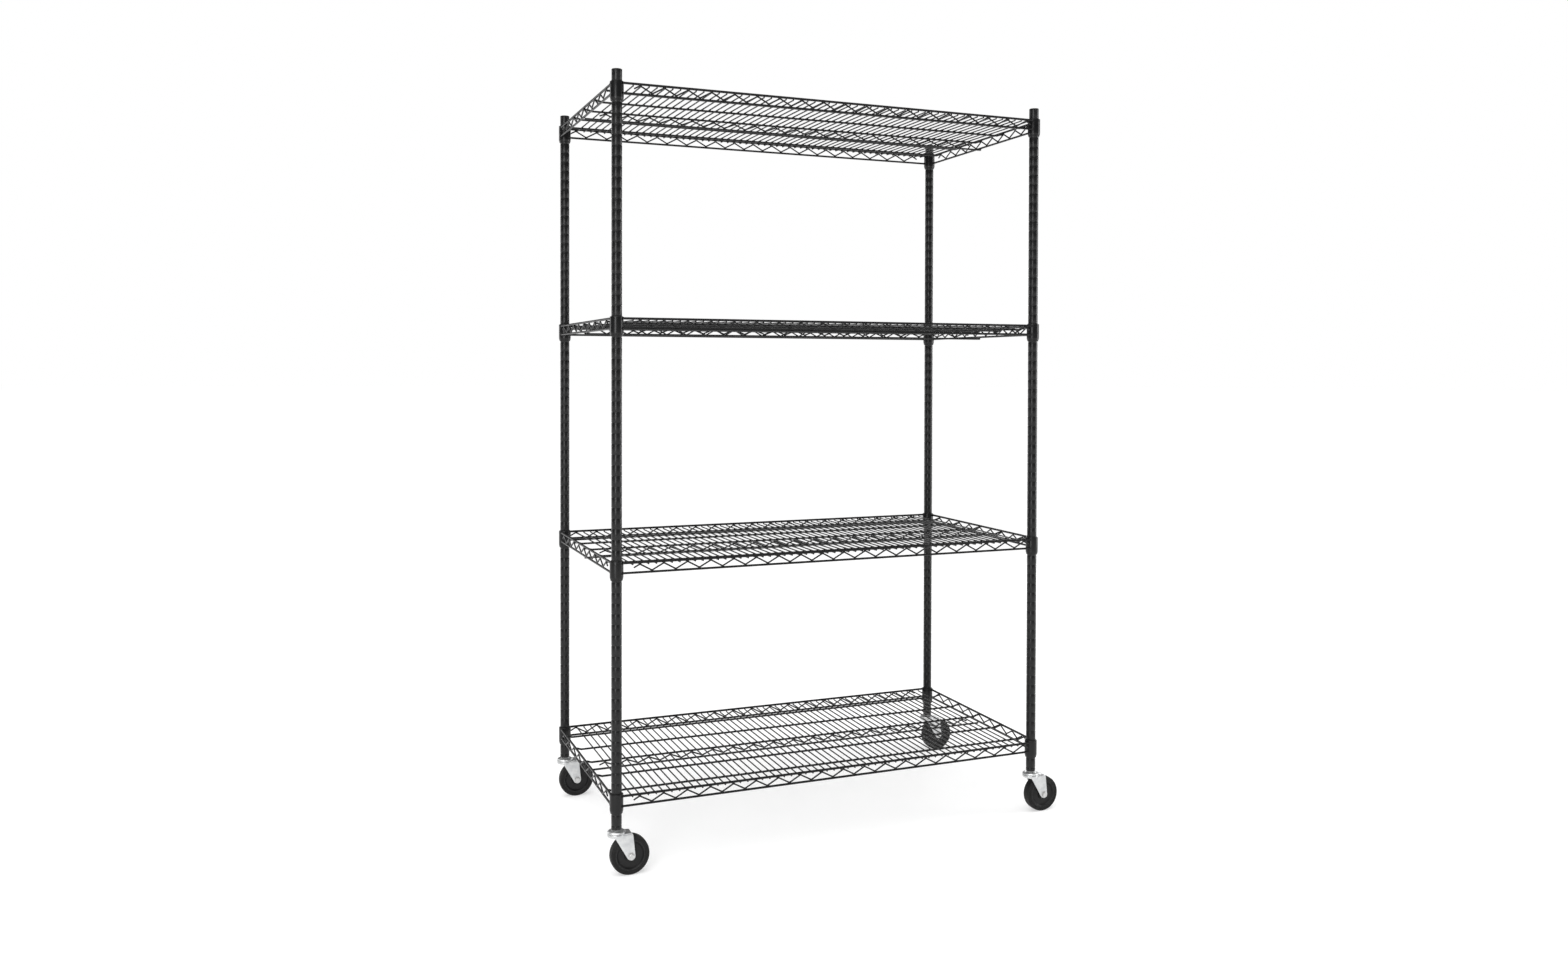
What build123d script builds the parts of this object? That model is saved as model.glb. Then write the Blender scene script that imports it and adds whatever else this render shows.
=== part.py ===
"""Four-tier wire shelving rack on four swivel stem casters.

Frame: +Z up, z = 0 on the floor, +X to the right along the long side, -Y is the front.
All sizes are in millimetres. Each shelf is a welded wire frame hung on four grooved tube posts by
split plastic sleeves wedged inside its corner collars. All four casters trail towards +X at rest.
"""

import os
from math import sqrt

from build123d import *

os.makedirs("parts", exist_ok=True)

# Layout
SPAN_X = 1168.0  # post axis to post axis, long side
SPAN_Y = 584.0  # post axis to post axis, short side
HALF_X = SPAN_X / 2
HALF_Y = SPAN_Y / 2
RACK_X = -29.0  # rack centre, so that the trailing wheels are inside a box centred on the origin
FOOT_Z = 113.0  # lower end of the posts
GROOVE_PITCH = 25.4
SHELF_STEPS = (0, 22, 45, 67)  # shelf heights in groove pitches above the bottom shelf
BOTTOM_SHELF_Z = 80.0  # top rail of the bottom shelf above the post foot

# Posts
POST_R = 12.7
POST_WALL = 1.2
TUBE_LENGTH = 1812.0
GROOVE_DEPTH = 0.6
GROOVE_WIDTH = 2.0
GROOVE_DROP = 20.0  # groove that a sleeve grips, below the top rail
CAP_R = POST_R
CAP_RISE = 4.0
PLUG_R = POST_R - POST_WALL - 0.05
PLUG_LENGTH = 14.0
INSERT_LENGTH = 30.0

# Shelf wires
RAIL_R = 3.0  # top rail
LOWER_RAIL_R = 2.8
RAIL_DROP = 24.1  # lower rail below top rail
RIM_OUT = 11.0  # rails run this far outside the post axes and butt against the collars off centre
RIM_X = HALF_X + RIM_OUT
RIM_Y = HALF_Y + RIM_OUT
TRUSS_R = 2.0
TRUSS_PITCH = 60.0
TRUSS_BEND = 5.0
TRUSS_OUT = 1.6  # truss wire is welded this far outside the rail plane
FRONT_PEAKS = 19
SIDE_PEAKS = 9
FRONT_SHIFT = 10.0  # the long trusses are bent from one end, so they sit off centre
DECK_R = 1.8
DECK_PITCH = 19.7
DECK_SHIFT = 5.0  # the deck wires sit off centre too
DECK_COUNT = 57
SUPPORT_R = 2.6
SUPPORT_YS = (-233.6, -116.8, 116.8, 233.6)
DECK_Z = -(RAIL_R + DECK_R)
SUPPORT_Z = DECK_Z - DECK_R - SUPPORT_R
CENTRE_LOWER_Z = -(RAIL_DROP + LOWER_RAIL_R + SUPPORT_R)
WIRE_END = 0.5  # wires stop this far short of the rail axis they are welded under
WELD_GAP = 0.02  # keeps the centre truss as three wires that just meet

# Corner collars and sleeves, heights from the top rail axis
COLLAR_R = 16.5
COLLAR_TOP = 4.5
COLLAR_BOTTOM = -39.0
SLEEVE_TOP = 6.0
SLEEVE_BOTTOM = -42.0
SLEEVE_IN_R = POST_R + 0.05
SLEEVE_BANDS = ((14.9, -42.0, -26.0), (14.45, -26.0, -10.0), (14.0, -10.0, 6.0))  # r, from, to
SLEEVE_SLIT = 0.6
RIDGE_R = POST_R - GROOVE_DEPTH + 0.1
FIT_GAP = 0.05

# Casters, heights from the post foot
STEM_R = 4.76
CASTER_CAP_R = 22.0
CASTER_CAP_TOP = -2.6
CASTER_CAP_BOTTOM = -9.0
CROWN_TOP = -9.4
CROWN_SHEET = 3.0
CROWN_SKIRT = 7.6
CROWN_TAIL = 37.0
KINGPIN_R = 5.0
AXLE_X = 32.0  # trail
AXLE_Z = -65.0
LEG_IN = 15.4
LEG_OUT = 18.2
LEG_TIP_R = 10.0
BOLT_R = 3.95
BOLT_REACH = 24.0
BUSH_R = 6.0
WHEEL_R = 48.0
TYRE_SEAT_R = 36.5
HUB_R = 13.0
HUB_HALF = 15.0

CORNERS = {
    "front_left": (-HALF_X, -HALF_Y),
    "front_right": (HALF_X, -HALF_Y),
    "back_left": (-HALF_X, HALF_Y),
    "back_right": (HALF_X, HALF_Y),
}


def save(shape, label):
    shape.label = label
    export_step(shape, f"parts/{label}.step")


# ---------------------------------------------------------------- posts


def groove_heights():
    first = BOTTOM_SHELF_Z - GROOVE_DROP
    while first > GROOVE_PITCH:
        first -= GROOVE_PITCH
    count = int((TUBE_LENGTH - 3 - first) / GROOVE_PITCH) + 1
    return [first + i * GROOVE_PITCH for i in range(count)]


def post_tube():
    outline = [(POST_R - POST_WALL, 0), (POST_R, 0)]
    for z in groove_heights():
        low = z - GROOVE_WIDTH / 2
        high = z + GROOVE_WIDTH / 2
        outline.append((POST_R, low))
        outline.append((POST_R - GROOVE_DEPTH, low + GROOVE_DEPTH))
        outline.append((POST_R - GROOVE_DEPTH, high - GROOVE_DEPTH))
        outline.append((POST_R, high))
    outline.append((POST_R, TUBE_LENGTH))
    outline.append((POST_R - POST_WALL, TUBE_LENGTH))
    with BuildPart() as tube:
        with BuildSketch(Plane.XZ):
            with BuildLine():
                Polyline(*outline, close=True)
            make_face()
        revolve(axis=Axis.Z)
    return tube.part


def post_cap():
    with BuildPart() as cap:
        with Locations((0, 0, TUBE_LENGTH)):
            Cylinder(CAP_R, CAP_RISE, align=(Align.CENTER, Align.CENTER, Align.MIN))
            fillet(cap.edges().group_by(Axis.Z)[-1], 1.6)
            Cylinder(PLUG_R, PLUG_LENGTH, align=(Align.CENTER, Align.CENTER, Align.MAX))
    return cap.part


def foot_insert():
    with BuildPart() as insert:
        Cylinder(PLUG_R, INSERT_LENGTH, align=(Align.CENTER, Align.CENTER, Align.MIN))
        chamfer(insert.edges().group_by(Axis.Z)[-1], 1.0)
        with Locations((0, 0, -1)):
            Cylinder(
                STEM_R + FIT_GAP,
                INSERT_LENGTH + 2,
                align=(Align.CENTER, Align.CENTER, Align.MIN),
                mode=Mode.SUBTRACT,
            )
    return insert.part


# ---------------------------------------------------------------- shelf wires


def zigzag(first, count, top, bottom):
    """Truss wire in the XZ plane: `count` peaks from x = first, each end left at mid height."""
    half = TRUSS_PITCH / 2
    rise = top - bottom
    tall = rise
    for _ in range(30):
        tall = rise + 2 * TRUSS_BEND * (sqrt(1 + (tall / half) ** 2) - 1)
    over = (tall - rise) / 2
    middle = (top + bottom) / 2
    points = [(first - half / 2, 0, middle)]
    for i in range(count):
        points.append((first + i * TRUSS_PITCH, 0, top + over))
        points.append((first + i * TRUSS_PITCH + half, 0, bottom - over))
    points[-1] = (first + (count - 1) * TRUSS_PITCH + half / 2, 0, middle)
    with BuildPart() as wire:
        with BuildLine() as path:
            FilletPolyline(*points, radius=TRUSS_BEND)
        with BuildSketch(Plane(origin=path.line @ 0, z_dir=path.line % 0)):
            Circle(TRUSS_R)
        sweep()
    return wire.part


def rim_rails():
    x_length = SPAN_X - 12
    y_length = SPAN_Y - 12
    with BuildPart() as rails:
        for z, radius in ((0, RAIL_R), (-RAIL_DROP, LOWER_RAIL_R)):
            with Locations((0, -RIM_Y, z), (0, RIM_Y, z)):
                Cylinder(radius, x_length, rotation=(0, 90, 0))
            with Locations((-RIM_X, 0, z), (RIM_X, 0, z)):
                Cylinder(radius, y_length, rotation=(90, 0, 0))
        with Locations(*[(x, y, -RAIL_DROP / 2) for x, y in CORNERS.values()]):
            Cylinder(COLLAR_R, 60, mode=Mode.SUBTRACT)
    return rails.part


def rim_trusses():
    top = -sqrt((RAIL_R + TRUSS_R) ** 2 - TRUSS_OUT**2)
    bottom = -RAIL_DROP + sqrt((LOWER_RAIL_R + TRUSS_R) ** 2 - TRUSS_OUT**2)
    front_first = FRONT_SHIFT - (FRONT_PEAKS - 1) * TRUSS_PITCH / 2
    side_first = -(SIDE_PEAKS - 1) * TRUSS_PITCH / 2
    long_wire = zigzag(front_first, FRONT_PEAKS, top, bottom)
    short_wire = zigzag(side_first, SIDE_PEAKS, top, bottom)
    with BuildPart() as trusses:
        with Locations((0, -RIM_Y - TRUSS_OUT, 0)):
            add(long_wire)
        with Locations(Location((0, RIM_Y + TRUSS_OUT, 0), (0, 0, 180))):
            add(long_wire)
        with Locations(Location((RIM_X + TRUSS_OUT, 0, 0), (0, 0, 90))):
            add(short_wire)
        with Locations(Location((-RIM_X - TRUSS_OUT, 0, 0), (0, 0, 90))):
            add(short_wire)
    return trusses.part


def support_wire():
    """Lengthwise wire under the deck; its ends joggle up to meet the underside of the side rails."""
    end = RIM_X - WIRE_END
    high = -(RAIL_R + SUPPORT_R)
    points = [
        (-end, 0, high),
        (-end + 7, 0, high),
        (-end + 18, 0, SUPPORT_Z),
        (end - 18, 0, SUPPORT_Z),
        (end - 7, 0, high),
        (end, 0, high),
    ]
    with BuildPart() as wire:
        with BuildLine() as path:
            FilletPolyline(*points, radius=8)
        with BuildSketch(Plane(origin=path.line @ 0, z_dir=path.line % 0)):
            Circle(SUPPORT_R)
        sweep()
    return wire.part


def support_wires(wire):
    with BuildPart() as supports:
        with Locations(*[(0, y, 0) for y in SUPPORT_YS]):
            add(wire)
    return supports.part


def centre_truss(wire):
    top = SUPPORT_Z - SUPPORT_R - TRUSS_R - WELD_GAP
    bottom = CENTRE_LOWER_Z + SUPPORT_R + TRUSS_R + WELD_GAP
    first = -(FRONT_PEAKS - 1) * TRUSS_PITCH / 2
    with BuildPart() as truss:
        add(wire)
        with Locations((0, 0, CENTRE_LOWER_Z)):
            Cylinder(SUPPORT_R, 2 * (RIM_X - WIRE_END), rotation=(0, 90, 0))
        add(zigzag(first, FRONT_PEAKS, top, bottom))
    return truss.part


def deck_wires():
    first = DECK_SHIFT - (DECK_COUNT - 1) * DECK_PITCH / 2
    with BuildPart() as deck:
        with Locations(*[(first + i * DECK_PITCH, 0, DECK_Z) for i in range(DECK_COUNT)]):
            Cylinder(DECK_R, 2 * (RIM_Y - WIRE_END), rotation=(90, 0, 0))
    return deck.part


# ---------------------------------------------------------------- collars and sleeves


def corner_collar():
    """Tube with a tapered foot, bored in bands to fit over the sleeve."""
    outline = [
        (SLEEVE_BANDS[0][0] + FIT_GAP, COLLAR_BOTTOM),
        (COLLAR_R - 0.9, COLLAR_BOTTOM),
        (COLLAR_R, COLLAR_BOTTOM + 5),
        (COLLAR_R, COLLAR_TOP - 0.4),
        (COLLAR_R - 0.4, COLLAR_TOP),
        (SLEEVE_BANDS[-1][0] + FIT_GAP, COLLAR_TOP),
    ]
    for upper, lower in ((2, 1), (1, 0)):
        step = SLEEVE_BANDS[lower][2] + FIT_GAP
        outline.append((SLEEVE_BANDS[upper][0] + FIT_GAP, step))
        outline.append((SLEEVE_BANDS[lower][0] + FIT_GAP, step))
    with BuildPart() as collar:
        with BuildSketch(Plane.XZ):
            with BuildLine():
                Polyline(*outline, close=True)
            make_face()
        revolve(axis=Axis.Z)
    return collar.part


def split_sleeve():
    """Two half shells that widen downwards in three bands, with a ridge that grips a groove."""
    outline = [(SLEEVE_IN_R, SLEEVE_BOTTOM)]
    for radius, low, high in SLEEVE_BANDS:
        outline.append((radius, low))
        outline.append((radius, high))
    outline += [
        (SLEEVE_IN_R, SLEEVE_TOP),
        (SLEEVE_IN_R, -GROOVE_DROP + 0.7),
        (RIDGE_R, -GROOVE_DROP + 0.2),
        (RIDGE_R, -GROOVE_DROP - 0.2),
        (SLEEVE_IN_R, -GROOVE_DROP - 0.7),
    ]
    with BuildPart() as sleeve:
        with BuildSketch(Plane.XZ):
            with BuildLine():
                Polyline(*outline, close=True)
            make_face()
        revolve(axis=Axis.Z)
        with Locations((0, 0, SLEEVE_BOTTOM)):
            Box(
                SLEEVE_SLIT,
                40,
                60,
                align=(Align.CENTER, Align.CENTER, Align.MIN),
                mode=Mode.SUBTRACT,
            )
    return sleeve.part


# ---------------------------------------------------------------- casters


def caster_stem():
    """Fixed half of the swivel: stem, flange, race cap and kingpin with its riveted head."""
    with BuildPart() as stem:
        with Locations((0, 0, CASTER_CAP_TOP)):
            Cylinder(STEM_R, 28, align=(Align.CENTER, Align.CENTER, Align.MIN))
            chamfer(stem.edges().group_by(Axis.Z)[-1], 0.8)
        with BuildSketch(Plane.XY.offset(CASTER_CAP_TOP)):
            RegularPolygon(9.5, 6)
        extrude(amount=-CASTER_CAP_TOP)
        with BuildSketch(Plane.XZ):
            with BuildLine():
                Polyline(
                    (0, CASTER_CAP_TOP),
                    (15, CASTER_CAP_TOP),
                    (CASTER_CAP_R - 2.5, CASTER_CAP_TOP - 1.6),
                    (CASTER_CAP_R, CASTER_CAP_TOP - 3.8),
                    (CASTER_CAP_R, CASTER_CAP_BOTTOM),
                    (0, CASTER_CAP_BOTTOM),
                    close=True,
                )
            make_face()
        revolve(axis=Axis.Z)
        with Locations((0, 0, CASTER_CAP_BOTTOM)):
            Cylinder(KINGPIN_R, 6.8, align=(Align.CENTER, Align.CENTER, Align.MAX))
        with Locations((0, 0, CROWN_TOP - CROWN_SHEET - 0.4)):
            Cylinder(8, 3, align=(Align.CENTER, Align.CENTER, Align.MAX))
            chamfer(stem.edges().group_by(Axis.Z)[0], 1.2)
    return stem.part


def caster_fork():
    """Swivelling yoke: a dished crown under the race cap and two tapered legs down to the axle."""
    with BuildPart() as fork:
        with BuildSketch(Plane.XY.offset(CROWN_TOP)):
            Circle(CASTER_CAP_R)
            with Locations((CROWN_TAIL / 2, 0)):
                Rectangle(CROWN_TAIL, 2 * LEG_OUT)
        extrude(amount=-CROWN_SKIRT)
        with BuildSketch(Plane.XZ):
            with Locations((AXLE_X, AXLE_Z)):
                Circle(LEG_TIP_R)
            with Locations((CROWN_TAIL / 2 - 3, CROWN_TOP - 5)):
                Rectangle(CROWN_TAIL + 6, 5)
            make_hull()
        extrude(amount=LEG_OUT, both=True)
        tail_top = fork.edges().filter_by(Axis.Y).group_by(Axis.Z)[-1].sort_by(Axis.X)[-1]
        fillet(tail_top, 5)
        underside = CROWN_TOP - CROWN_SHEET
        with BuildSketch(Plane.XY.offset(underside)):
            Circle(CASTER_CAP_R - CROWN_SHEET)
            with Locations((30, 0)):
                Rectangle(60, 2 * LEG_IN + 10)
            Rectangle(200, 2 * LEG_IN, mode=Mode.INTERSECT)
        extrude(amount=-90, mode=Mode.SUBTRACT)
        Cylinder(KINGPIN_R + FIT_GAP, 60, mode=Mode.SUBTRACT)
        with Locations((AXLE_X, 0, AXLE_Z)):
            Cylinder(BOLT_R + FIT_GAP, 60, rotation=(90, 0, 0), mode=Mode.SUBTRACT)
    return fork.part


def axle_bolt():
    nut_face = LEG_OUT + 4.5
    with BuildPart() as bolt:
        with BuildSketch(Plane.XZ.offset(LEG_OUT)):
            RegularPolygon(7.2, 6)
        extrude(amount=BOLT_REACH - LEG_OUT)
        chamfer(bolt.edges().group_by(Axis.Y)[0], 0.6)
        with BuildSketch(Plane.XZ.offset(-nut_face)):
            RegularPolygon(7.2, 6)
        extrude(amount=nut_face - LEG_OUT)
        with BuildSketch(Plane.XZ.offset(-BOLT_REACH)):
            Circle(BOLT_R)
        extrude(amount=BOLT_REACH + LEG_OUT)
    return bolt.part


def axle_bush():
    with BuildPart() as bush:
        Cylinder(BUSH_R, 2 * LEG_IN, rotation=(90, 0, 0))
        Cylinder(BOLT_R + FIT_GAP, 60, rotation=(90, 0, 0), mode=Mode.SUBTRACT)
    return bush.part


def wheel_core():
    bore = BUSH_R + FIT_GAP
    half_outline = [
        (bore, 0),
        (bore, HUB_HALF),
        (HUB_R - 1, HUB_HALF),
        (HUB_R, HUB_HALF - 1),
        (HUB_R + 1.5, 8.0),
        (TYRE_SEAT_R - 5, 7.5),
        (TYRE_SEAT_R - 3.5, 11.6),
        (TYRE_SEAT_R - 3, 12.0),
        (TYRE_SEAT_R, 12.0),
        (TYRE_SEAT_R, 0),
    ]
    mirrored = [(r, -w) for r, w in reversed(half_outline[1:-1])]
    with BuildPart() as core:
        with BuildSketch(Plane.XY):
            with BuildLine():
                Polyline(*half_outline[1:-1], *mirrored, close=True)
            make_face()
        revolve(axis=Axis.Y)
    return core.part


def tyre():
    with BuildPart() as ring:
        with BuildSketch(Plane.XY) as profile:
            with Locations(((TYRE_SEAT_R + WHEEL_R) / 2, 0)):
                Rectangle(WHEEL_R - TYRE_SEAT_R, 26)
            fillet(profile.vertices().group_by(Axis.X)[-1], 4.5)
            fillet(profile.vertices().group_by(Axis.X)[0], 0.6)
        revolve(axis=Axis.Y)
    return ring.part


# ---------------------------------------------------------------- placing and export


def place(shape, spots):
    with BuildPart() as group:
        with Locations(*[(RACK_X + x, y, z) for x, y, z in spots]):
            add(shape)
    return group.part


corners = list(CORNERS.values())
foot_spots = [(x, y, FOOT_Z) for x, y in corners]

tube = post_tube()
for corner, (x, y) in CORNERS.items():
    save(place(tube, [(x, y, FOOT_Z)]), f"post_{corner}")
save(place(post_cap(), foot_spots), "post_caps")
save(place(foot_insert(), foot_spots), "post_foot_inserts")

rails = rim_rails()
trusses = rim_trusses()
long_wire = support_wire()
supports = support_wires(long_wire)
spine = centre_truss(long_wire)
deck = deck_wires()
collar = corner_collar()
sleeve = split_sleeve()
for number, steps in enumerate(SHELF_STEPS, start=1):
    shelf_z = FOOT_Z + BOTTOM_SHELF_Z + steps * GROOVE_PITCH
    middle = [(0, 0, shelf_z)]
    corner_spots = [(x, y, shelf_z) for x, y in corners]
    save(place(rails, middle), f"shelf_{number}_rim_rails")
    save(place(trusses, middle), f"shelf_{number}_rim_trusses")
    save(place(supports, middle), f"shelf_{number}_support_wires")
    save(place(spine, middle), f"shelf_{number}_centre_truss")
    save(place(deck, middle), f"shelf_{number}_deck_wires")
    save(place(collar, corner_spots), f"shelf_{number}_corner_collars")
    save(place(sleeve, corner_spots), f"shelf_{number}_split_sleeves")

caster_parts = {"stem": caster_stem(), "fork": caster_fork()}
axle_parts = {
    "axle_bolt": axle_bolt(),
    "axle_bush": axle_bush(),
    "wheel_core": wheel_core(),
    "tyre": tyre(),
}
for corner, (x, y) in CORNERS.items():
    for name, shape in caster_parts.items():
        save(place(shape, [(x, y, FOOT_Z)]), f"caster_{corner}_{name}")
    for name, shape in axle_parts.items():
        save(place(shape, [(x + AXLE_X, y, FOOT_Z + AXLE_Z)]), f"caster_{corner}_{name}")
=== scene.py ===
"""Visual model of the four-tier wire shelving rack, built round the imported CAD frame.

Shapes are drawn in millimetres round a local origin and placed by the boxes of the CAD nodes.
Posts and casters are drawn from the post axis at the post foot, shelves from the centre of the
top rails, so a height here is the height above the foot or the rail.
"""

import math

import bmesh
import bpy
from mathutils import Matrix, Vector


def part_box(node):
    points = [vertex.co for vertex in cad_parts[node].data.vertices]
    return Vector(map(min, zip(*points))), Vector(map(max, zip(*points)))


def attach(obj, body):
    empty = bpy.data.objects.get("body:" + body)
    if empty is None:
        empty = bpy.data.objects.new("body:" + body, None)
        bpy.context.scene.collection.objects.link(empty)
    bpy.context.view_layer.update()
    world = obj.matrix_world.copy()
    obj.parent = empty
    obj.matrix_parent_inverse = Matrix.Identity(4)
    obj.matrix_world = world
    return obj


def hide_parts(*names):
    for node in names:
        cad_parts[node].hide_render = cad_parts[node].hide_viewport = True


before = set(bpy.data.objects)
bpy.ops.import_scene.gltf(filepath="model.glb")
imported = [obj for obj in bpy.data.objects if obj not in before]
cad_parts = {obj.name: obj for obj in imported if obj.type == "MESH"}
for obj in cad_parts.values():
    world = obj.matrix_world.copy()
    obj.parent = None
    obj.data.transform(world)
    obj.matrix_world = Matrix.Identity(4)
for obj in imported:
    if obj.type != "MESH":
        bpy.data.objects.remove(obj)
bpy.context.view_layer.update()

MM = 0.001
CORNERS = ("front_left", "front_right", "back_left", "back_right")
SHELVES = (1, 2, 3, 4)

# Wires
RAIL_R = 3.0
LOWER_RAIL_R = 2.8
TRUSS_R = 2.0
TRUSS_PITCH = 60.0
TRUSS_BEND = 5.0
TRUSS_OUT = 1.6
FRONT_PEAKS = 19
SIDE_PEAKS = 9
FRONT_SHIFT = 10.0
DECK_R = 1.8
DECK_COUNT = 57
SUPPORT_R = 2.6
WELD_GAP = 0.02
JOGGLE_FLAT = 7  # level end of a lengthwise wire, under the side rail
JOGGLE_END = 18  # where the wire is down at its working height
JOGGLE_BEND = 8.0
LONG_WELD = (4.2, 1.7, 1.1)  # half sizes of a spot weld along a truss bend
FLAT_WELD = (4.2, 1.7, 0.9)
CROSS_WELD = (2.4, 2.6, 1.0)
WELD_SETBACK = 0.6  # how far welds and weld fillets overlap what they join

# Posts, collars and sleeves
POST_WALL = 1.2
FIT_GAP = 0.05
GROOVE_PITCH = 25.4
GROOVE_DEPTH = 0.6
GROOVE_HALF = 1.5
GROOVE_DROP = 20.0
COLLAR_R = 16.5
SLEEVE_TOP_R = 14.0
SLEEVE_FOOT_R = 14.9
SLEEVE_SLIT = 0.6

# Casters, heights from the post foot
CAP_TOP = -2.6
CAP_BOTTOM = -9.0
CROWN_TOP = -9.4
CROWN_SHEET = 3.0
CROWN_SKIRT = 7.6
CROWN_TAIL = 37.0
LEG_OUT = 18.2
YOKE_FRONT = -7.0
YOKE_BEND = 4.0
STEM_R = 4.76
STEM_NUT_R = 9.5
KINGPIN_R = 5.0
BOLT_R = 3.95
BOLT_HEAD_R = 7.2
WASHER_R = 8.2
WASHER_BORE = 3.9
BUSH_BORE = 4.0
BUSH_R = 6.0
TYRE_SEAT_R = 36.5


# ---------------------------------------------------------------- mesh drawing


class Shape:
    """Points and faces of one piece, in millimetres."""

    def __init__(self):
        self.points = []
        self.faces = []

    def add(self, points, faces):
        base = len(self.points)
        self.points.extend(points)
        self.faces.extend([base + i for i in face] for face in faces)

    def join(self, other, matrix):
        self.add([matrix @ p for p in other.points], other.faces)


def bridge(rings, closed_ring=True):
    """Faces between rings of equal length, listed one after the other."""
    count = len(rings[0])
    last = count if closed_ring else count - 1
    faces = []
    for k in range(len(rings) - 1):
        for i in range(last):
            j = (i + 1) % count
            a = k * count
            faces.append((a + i, a + j, a + count + j, a + count + i))
    return faces


def tube(shape, path, across, radii, sides=12):
    """Round wire along a path that lies in the plane square to `across`."""
    across = Vector(across)
    rings = []
    for k, point in enumerate(path):
        before = path[max(k - 1, 0)]
        after = path[min(k + 1, len(path) - 1)]
        out = (after - before).normalized().cross(across)
        radius = radii[k] if isinstance(radii, list) else radii
        ring = []
        for i in range(sides):
            angle = 2 * math.pi * i / sides
            ring.append(point + radius * (math.cos(angle) * across + math.sin(angle) * out))
        rings.append(ring)
    faces = bridge(rings)
    faces.append(tuple(range(sides)))
    faces.append(tuple(len(rings) * sides - 1 - i for i in range(sides)))
    shape.add([p for ring in rings for p in ring], faces)


def cut_ends(path, radius, edge=0.5):
    """Path and radii of a wire whose sheared ends have a small worn edge."""
    first = (path[1] - path[0]).normalized()
    last = (path[-2] - path[-1]).normalized()
    longer = [path[0], path[0] + first * edge, *path[1:-1], path[-1] + last * edge, path[-1]]
    radii = [radius - edge, *[radius] * (len(longer) - 2), radius - edge]
    return longer, radii


def welded_ends(path, radius, flare):
    """Path and radii of a straight wire with a small weld fillet at each end."""
    steps = ((0.0, 1.0), (0.7, 0.62), (1.5, 0.28), (2.6, 0.07), (4.0, 0.0))
    start = path[0]
    run = path[-1] - start
    way = run.normalized()
    near = [start + way * along for along, _ in steps]
    far = [start + run - way * along for along, _ in reversed(steps)]
    sizes = [radius + flare * share for _, share in steps]
    return near + far, sizes + sizes[::-1]


def bent(corners, radius, steps=7):
    """The corners of an open run, rounded by arcs."""
    path = [corners[0]]
    for before, corner, after in zip(corners, corners[1:], corners[2:]):
        a = (corner - before).normalized()
        b = (after - corner).normalized()
        half = a.angle(b) / 2
        centre = corner + (b - a).normalized() * radius / math.cos(half)
        start = corner - a * radius * math.tan(half) - centre
        end = corner + b * radius * math.tan(half) - centre
        for i in range(steps):
            path.append(centre + turn(start, end, i / (steps - 1)))
    path.append(corners[-1])
    return path


def turn(start, end, share):
    """A point of the arc from one spoke to another of the same length."""
    angle = start.angle(end)
    if angle < 1e-6:
        return start.lerp(end, share)
    a = math.sin((1 - share) * angle) / math.sin(angle)
    b = math.sin(share * angle) / math.sin(angle)
    return start * a + end * b


def lathe(shape, profile, centre=(0, 0, 0), axis="Z", sides=48, start=0.0, sweep=360.0):
    """Turned form from a closed outline of (radius, height); a part turn gets flat end faces."""
    whole = sweep >= 360
    count = sides if whole else sides + 1
    centre = Vector(centre)
    points = []
    for i in range(count):
        angle = math.radians(start + sweep * i / sides)
        for r, h in profile:
            x, y = r * math.cos(angle), r * math.sin(angle)
            points.append(centre + (Vector((x, y, h)) if axis == "Z" else Vector((y, h, x))))
    size = len(profile)
    faces = []
    for i in range(sides):
        j = (i + 1) % count
        for k in range(size):
            m = (k + 1) % size
            if profile[k][0] < 1e-6 and profile[m][0] < 1e-6:
                continue
            faces.append((i * size + k, j * size + k, j * size + m, i * size + m))
    if not whole:
        faces.append(tuple(range(size)))
        faces.append(tuple(sides * size + k for k in reversed(range(size))))
    shape.add(points, faces)


def softened(profile, rounds, steps=4):
    """A closed outline with the corners named in `rounds` rounded to their radii."""
    result = []
    size = len(profile)
    for i, (r, h) in enumerate(profile):
        radius = rounds.get(i, 0)
        if not radius:
            result.append((r, h))
            continue
        corner = Vector((r, h, 0))
        a = (corner - Vector((*profile[i - 1], 0))).normalized()
        b = (Vector((*profile[(i + 1) % size], 0)) - corner).normalized()
        half = a.angle(b) / 2
        centre = corner + (b - a).normalized() * radius / math.cos(half)
        first = corner - a * radius * math.tan(half) - centre
        last = corner + b * radius * math.tan(half) - centre
        for k in range(steps + 1):
            p = centre + turn(first, last, k / steps)
            result.append((p.x, p.y))
    return result


def nugget(shape, centre, radii, rings=4, sides=8):
    """Small spot weld: a squashed ball that shows round the crossing of two wires."""
    points = [Vector((0, 0, 1))]
    for k in range(1, rings):
        polar = math.pi * k / rings
        for i in range(sides):
            angle = 2 * math.pi * i / sides
            points.append(
                Vector(
                    (
                        math.sin(polar) * math.cos(angle),
                        math.sin(polar) * math.sin(angle),
                        math.cos(polar),
                    )
                )
            )
    points.append(Vector((0, 0, -1)))
    faces = [(0, 1 + i, 1 + (i + 1) % sides) for i in range(sides)]
    for k in range(rings - 2):
        a = 1 + k * sides
        for i in range(sides):
            j = (i + 1) % sides
            faces.append((a + i, a + sides + i, a + sides + j, a + j))
    tail = len(points) - 1
    a = tail - sides
    faces += [(a + i, tail, a + (i + 1) % sides) for i in range(sides)]
    scale = Matrix.Diagonal((*radii, 1))
    shape.add([Vector(centre) + (scale @ p.to_4d()).to_3d() for p in points], faces)


# ---------------------------------------------------------------- materials


def link(tree, source, target):
    tree.links.new(source, target)


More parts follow.
